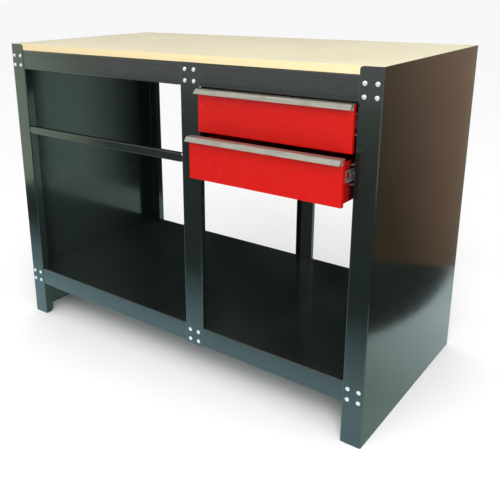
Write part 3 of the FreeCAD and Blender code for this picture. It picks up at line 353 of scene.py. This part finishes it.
def fibreboard(name):
    """Pale pressed board: fine fibres, soft clouds and a few darker flecks, darker where it is cut."""
    finish = Finish(name)
    cloud = finish.noise(BOARD_CLOUD_SCALE, detail=5.0, roughness=0.6)
    fibre = finish.noise(1.0, detail=6.0, roughness=0.7, place=finish.stretch(BOARD_FIBRE_SCALES))
    grain = finish.noise(BOARD_GRAIN_SCALE, detail=2.0)
    spots = finish.cells(BOARD_FLECK_SCALE)
    flecks = finish.remap(spots, 0.05, 0.11, to_low=BOARD_FLECK_SHARE, to_high=0.0)
    face_fibre = finish.remap(fibre, 0.45, 0.75, to_high=BOARD_FIBRE_SHARE)
    face_grain = finish.remap(grain, 0.35, 0.7, to_high=BOARD_GRAIN_SHARE)
    face = finish.mix(finish.remap(cloud), BOARD_PALE, BOARD_DEEP)
    face = finish.mix(face_fibre, face, BOARD_FIBRE)
    face = finish.mix(face_grain, face, BOARD_GRAIN)
    face = finish.mix(flecks, face, BOARD_FLECK)
    cut = finish.mix(flecks, CUT_BOARD, CUT_BOARD_FLECK)
    cut = finish.mix(finish.remap(fibre, 0.4, 0.7, to_high=CUT_FIBRE_SHARE), cut, CUT_BOARD_FIBRE)
    surface = finish.bump(finish.math("ADD", fibre, grain), BOARD_BUMP_DEPTH, BOARD_BUMP_SHARE)
    finish.set(Base_Color=finish.mix(finish.facing_up(), cut, face), Normal=surface,
               Roughness=finish.remap(fibre, to_low=0.50, to_high=0.68),
               IOR=BOARD_IOR, Specular_IOR_Level=0.4)
    return finish.material


def drawn_metal(name, colour, stain_colour, line_scales, line_depth, roughness, metallic):
    """Bare metal with fine drawing lines along one axis and slight stains."""
    finish = Finish(name)
    lines = finish.noise(1.0, detail=5.0, roughness=0.65, place=finish.stretch(line_scales))
    stain = finish.noise(METAL_STAIN_SCALE)
    base = finish.mix(finish.remap(lines), colour, stain_colour)
    base = finish.mix(finish.remap(stain, 0.5, 0.8, to_high=METAL_STAIN_SHARE), base, stain_colour)
    gloss = finish.remap(lines, to_low=roughness * 0.8, to_high=roughness * 1.25)
    finish.set(Base_Color=base, Metallic=metallic, Roughness=gloss,
               Normal=finish.bump(lines, line_depth, METAL_LINE_SHARE), IOR=USUAL_IOR)
    return finish.material


def zinc_plate(name):
    """Bright zinc with a soft crystalline mottle and a faint warm cast."""
    finish = Finish(name)
    flakes = finish.cells(ZINC_FLAKE_SCALE)
    cast = finish.noise(ZINC_CAST_SCALE)
    base = finish.mix(finish.remap(flakes, 0.1, 0.6), BOLT_ZINC, BOLT_ZINC_DEEP)
    base = finish.mix(finish.remap(cast, 0.45, 0.75, to_high=ZINC_CAST_SHARE), base, BOLT_ZINC_CAST)
    gloss = finish.remap(flakes, 0.1, 0.7, to_low=0.16, to_high=0.30)
    finish.set(Base_Color=base, Metallic=0.75, Roughness=gloss,
               Normal=finish.bump(cast, ZINC_BUMP_DEPTH, ZINC_BUMP_SHARE), IOR=USUAL_IOR)
    return finish.material


def paper(name):
    """Matte white paper with a soft mottle."""
    finish = Finish(name)
    mottle = finish.remap(finish.noise(PAPER_MOTTLE_SCALE, detail=4.0))
    finish.set(Base_Color=finish.mix(mottle, PAPER_LIGHT, PAPER_DARK), Roughness=0.9,
               Specular_IOR_Level=0.1)
    return finish.material


def glow(name):
    """A card's glowing colour, which runs from one colour into another as CARD_GLOWS says."""
    first, second, direction, start, end = CARD_GLOWS[name]
    finish = Finish(name)
    along = finish.remap(finish.dot(finish.place, direction), start, end)
    cloud = finish.remap(finish.noise(CARD_CLOUD_SCALE), to_low=-CARD_CLOUD, to_high=CARD_CLOUD)
    finish.set(Base_Color=BLACK, Specular_IOR_Level=0.0, Roughness=1.0,
               Emission_Color=finish.mix(finish.math("ADD", along, cloud), first, second),
               Emission_Strength=1.0)
    return finish.material


FINISHES = {
    "board": fibreboard("board_fibre"),
    "frame_paint": powder_coat("frame_powder_coat", FRAME_PAINT, FRAME_PAINT_DEEP,
                               FRAME_PAINT_WORN, roughness=0.13, shine=0.75),
    "drawer_paint": powder_coat("drawer_powder_coat", DRAWER_RED, DRAWER_RED_DEEP,
                                DRAWER_RED_WORN, roughness=0.24, shine=0.24),
    "pull_metal": drawn_metal("pull_aluminium", ALUMINIUM, ALUMINIUM_STAIN, PULL_LINE_SCALES,
                              PULL_LINE_DEPTH, roughness=0.30, metallic=0.65),
    "slide_steel": drawn_metal("slide_zinc", SLIDE_ZINC, SLIDE_ZINC_STAIN, SLIDE_LINE_SCALES,
                               SLIDE_LINE_DEPTH, roughness=0.26, metallic=0.85),
    "fastener_steel": zinc_plate("fastener_zinc"),
}
# The drawer box sheets' red coat, with painted shade inside the box
BOX_COAT_WITH_PAINTED_SHADE = powder_coat("drawer_box_coat_with_painted_shade", DRAWER_RED, DRAWER_RED_DEEP, DRAWER_RED_WORN,
                        roughness=0.24, shine=0.24, painted_shade_colour=DRAWER_RED_PAINTED_SHADE)
SCREW_PAINT = powder_coat("screw_black", SCREW_BLACK, SCREW_BLACK_DEEP, SCREW_BLACK_WORN,
                          roughness=0.3, shine=0.5)


def finish_of(name):
    """The material of one CAD node."""
    if name in DARK_SCREW_NODES:
        return SCREW_PAINT
    # Drawer box sheets: the red coat with painted shade inside
    if name.endswith(BOX_SHEETS):
        return BOX_COAT_WITH_PAINTED_SHADE
    return FINISHES[slot_of[name]]


# ---- rounded sheet edges ------------------------------------------------------------------------

def round_sheet_edges(node, width):
    """Round the sharp edges of a CAD node, with modifiers only."""
    weld = node.modifiers.new("weld", "WELD")
    weld.merge_threshold = WELD_DISTANCE
    bevel = node.modifiers.new("edge_round", "BEVEL")
    bevel.width = width
    bevel.segments = 2
    bevel.limit_method = "ANGLE"
    bevel.angle_limit = SHARP_EDGE
    bevel.harden_normals = True


# ---- studio -------------------------------------------------------------------------------------

def stage_mesh(name, points, material):
    """A stage object of one flat face."""
    mesh = bpy.data.meshes.new(name)
    mesh.from_pydata(points, [], [tuple(range(len(points)))])
    mesh.materials.append(material)
    stand = bpy.data.objects.new(name, mesh)
    bpy.context.scene.collection.objects.link(stand)
    return stand


def rectangle(left, right, front, rear):
    """The corners of a rectangle on the floor plan."""
    return [(left, front), (right, front), (right, rear), (left, rear)]


def raised(plan, height):
    """Points of the floor plan at one height."""
    return [(x, y, height) for x, y in plan]


def add_floor():
    """A plain pale floor that runs to the horizon."""
    corners = rectangle(-FLOOR_HALF, FLOOR_HALF, -FLOOR_HALF, FLOOR_HALF)
    stage_mesh("studio_floor", raised(corners, FLOOR_Z), paper("studio_paper"))


def gloss_card(name, points, glow_name):
    """A glowing stage card that shows in glossy reflections and nowhere else."""
    card = stage_mesh(name, points, glow(glow_name))
    card.visible_camera = False
    card.visible_diffuse = False
    card.visible_shadow = False
    card.visible_transmission = False
    card.visible_volume_scatter = False


def upright_card(name, first, second, high, glow_name):
    """A vertical card over the line between two points of the floor plan."""
    line = [first, second]
    points = raised(line, CARD_LIFT) + raised(reversed(line), high)
    gloss_card(name, points, glow_name)


def cloth_edge():
    """The curved right edge of the cloth on the floor plan, from front to rear."""
    edge = []
    for step in range(CLOTH_EDGE_POINTS):
        y = CLOTH_FRONT + (WALL_Y - CLOTH_FRONT) * step / (CLOTH_EDGE_POINTS - 1)
        flare = CLOTH_FLARE_FRONT if y < CLOTH_WAIST_Y else CLOTH_FLARE_REAR
        edge.append((CLOTH_WAIST + flare * (y - CLOTH_WAIST_Y) ** 2, y))
    return edge


def add_floor_cards():
    """The ground as the gloss paint shows it: pale cloth under the bench, dark floor around it."""
    edge = cloth_edge()
    cloth_corner = edge[0][0]
    side = edge + [(DARK_FLOOR_SIDE, WALL_Y), (DARK_FLOOR_SIDE, NEAR_FLOOR_DARK),
                   (cloth_corner, NEAR_FLOOR_DARK)]
    cloth = edge + [(CLOTH_SPLIT, WALL_Y), (CLOTH_SPLIT, CLOTH_FRONT)]
    shaded = rectangle(CLOTH_LEFT, CLOTH_SPLIT, CLOTH_FRONT, WALL_Y)
    near = rectangle(-DARK_FLOOR_SIDE, cloth_corner, NEAR_FLOOR_DARK, CLOTH_FRONT)
    front = rectangle(-DARK_FLOOR_SIDE, DARK_FLOOR_SIDE, DARK_FLOOR_FRONT, NEAR_FLOOR_DARK)
    gloss_card("side_floor_card", raised(side, CARD_LIFT), "side_floor")
    gloss_card("pale_cloth_card", raised(cloth, CLOTH_LIFT), "pale_cloth")
    gloss_card("shaded_cloth_card", raised(shaded, CLOTH_LIFT), "shaded_cloth")
    gloss_card("near_floor_card", raised(near, CARD_LIFT), "near_floor")
    gloss_card("front_floor_card", raised(front, CARD_LIFT), "dark_floor")


def add_wall_cards():
    """The walls as the gloss paint shows them: dark and pale rear wall, brown right, bright left."""
    upright_card("rear_wall_card", (WALL_LEFT, WALL_Y), (WALL_CORNER, WALL_Y), WALL_HIGH, "rear_wall")
    upright_card("screen_card", (SCREEN_X, SCREEN_NEAR_Y), (SCREEN_X, WALL_Y), WALL_HIGH, "screen")
    upright_card("brown_wall_card", (WALL_CORNER, WALL_Y), BROWN_FAR, WALL_HIGH, "brown_wall")
    upright_card("left_side_card", (LEFT_CARD_X, LEFT_CARD_NEAR), (LEFT_CARD_X, LEFT_CARD_FAR),
                 LEFT_CARD_HIGH, "left_side")


def add_softbox(name, place, target, size, power):
    """A large white rectangular light that looks at a point."""
    data = bpy.data.lights.new(name, "AREA")
    data.shape = "RECTANGLE"
    data.size, data.size_y = size
    data.energy = power
    light = bpy.data.objects.new(name, data)
    bpy.context.scene.collection.objects.link(light)
    light.location = place
    light.rotation_euler = (Vector(target) - Vector(place)).to_track_quat("-Z", "Y").to_euler()
    return light


def add_world():
    """Plain pale surroundings."""
    world = bpy.data.worlds.new("studio_surroundings")
    world.use_nodes = True
    background = world.node_tree.nodes["Background"]
    background.inputs["Color"].default_value = WHITE
    background.inputs["Strength"].default_value = WORLD_STRENGTH
    bpy.context.scene.world = world


def add_camera():
    """The camera at the photograph's viewing angle."""
    data = bpy.data.cameras.new("main_camera")
    data.lens = CAMERA_LENS
    data.sensor_width = SENSOR_WIDTH
    data.shift_x = SHIFT_RIGHT
    data.shift_y = SHIFT_UP
    camera = bpy.data.objects.new("main_camera", data)
    bpy.context.scene.collection.objects.link(camera)
    azimuth = math.radians(CAMERA_AZIMUTH)
    elevation = math.radians(CAMERA_ELEVATION)
    forward = Vector((-math.sin(azimuth) * math.cos(elevation),
                      math.cos(azimuth) * math.cos(elevation),
                      -math.sin(elevation)))
    aim = forward.to_track_quat("-Z", "Y").to_matrix()
    roll = Matrix.Rotation(math.radians(CAMERA_ROLL), 3, "Z")
    camera.matrix_world = Matrix.Translation(CAMERA_PLACE) @ (aim @ roll).to_4x4()
    bpy.context.scene.camera = camera


# ---- the scene ----------------------------------------------------------------------------------

for name, node in nodes.items():
    node.data.materials.clear()
    node.data.materials.append(finish_of(name))
    if slot_of[name] == "frame_paint":
        round_sheet_edges(node, SHEET_EDGE_ROUND)

add_floor()
add_floor_cards()
add_wall_cards()
add_world()
add_softbox("key_softbox", KEY_PLACE, KEY_TARGET, KEY_SIZE, KEY_POWER)
right_softbox = add_softbox("right_softbox", RIGHT_PLACE, RIGHT_TARGET, RIGHT_SIZE, RIGHT_POWER)
right_softbox.visible_glossy = False
add_camera()
bpy.context.scene.view_settings.view_transform = "Standard"
